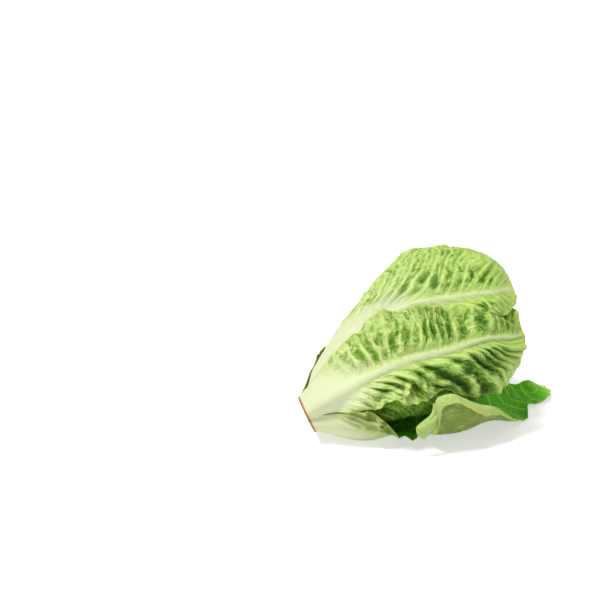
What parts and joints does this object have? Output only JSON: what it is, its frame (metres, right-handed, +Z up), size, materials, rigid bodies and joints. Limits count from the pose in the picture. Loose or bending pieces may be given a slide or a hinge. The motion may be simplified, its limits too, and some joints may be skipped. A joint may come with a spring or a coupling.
{
  "type": "romaine lettuce head",
  "caption": "Small head of romaine lettuce lying on its side, leaves folded round a short stem, with a cut butt at one end and a spread outer leaf underneath.",
  "frame": {"origin": "middle of the flat spot on the underside that the head rests on", "axes": "+X along the head from the cut butt towards the leaf tips, +Y away from the side with the broad front leaf, +Z up"},
  "size_m": [0.2128, 0.1363, 0.1295],
  "materials": {
    "stem": "firm pale stem, moist, rust brown where it was cut",
    "outer_leaf": "pleated pale green leaf with a white rib and petiole, satin",
    "inner_leaf": "crisp mid green leaf, satin",
    "heart_leaf": "tender yellow green leaf, satin"
  },
  "bodies": {
    "root": {"stem": "stem", "leaf_floor": "outer_leaf", "leaf_back_low": "outer_leaf", "leaf_front": "outer_leaf", "leaf_top": "outer_leaf", "leaf_back": "outer_leaf", "leaf_inner_01": "inner_leaf", "leaf_inner_02": "inner_leaf", "leaf_inner_03": "inner_leaf", "leaf_inner_04": "inner_leaf", "leaf_inner_05": "inner_leaf", "leaf_inner_06": "inner_leaf", "leaf_inner_07": "heart_leaf", "leaf_inner_08": "heart_leaf", "leaf_inner_09": "heart_leaf", "leaf_inner_10": "heart_leaf", "leaf_inner_11": "heart_leaf", "leaf_inner_12": "heart_leaf"}
  },
  "joints": []
}
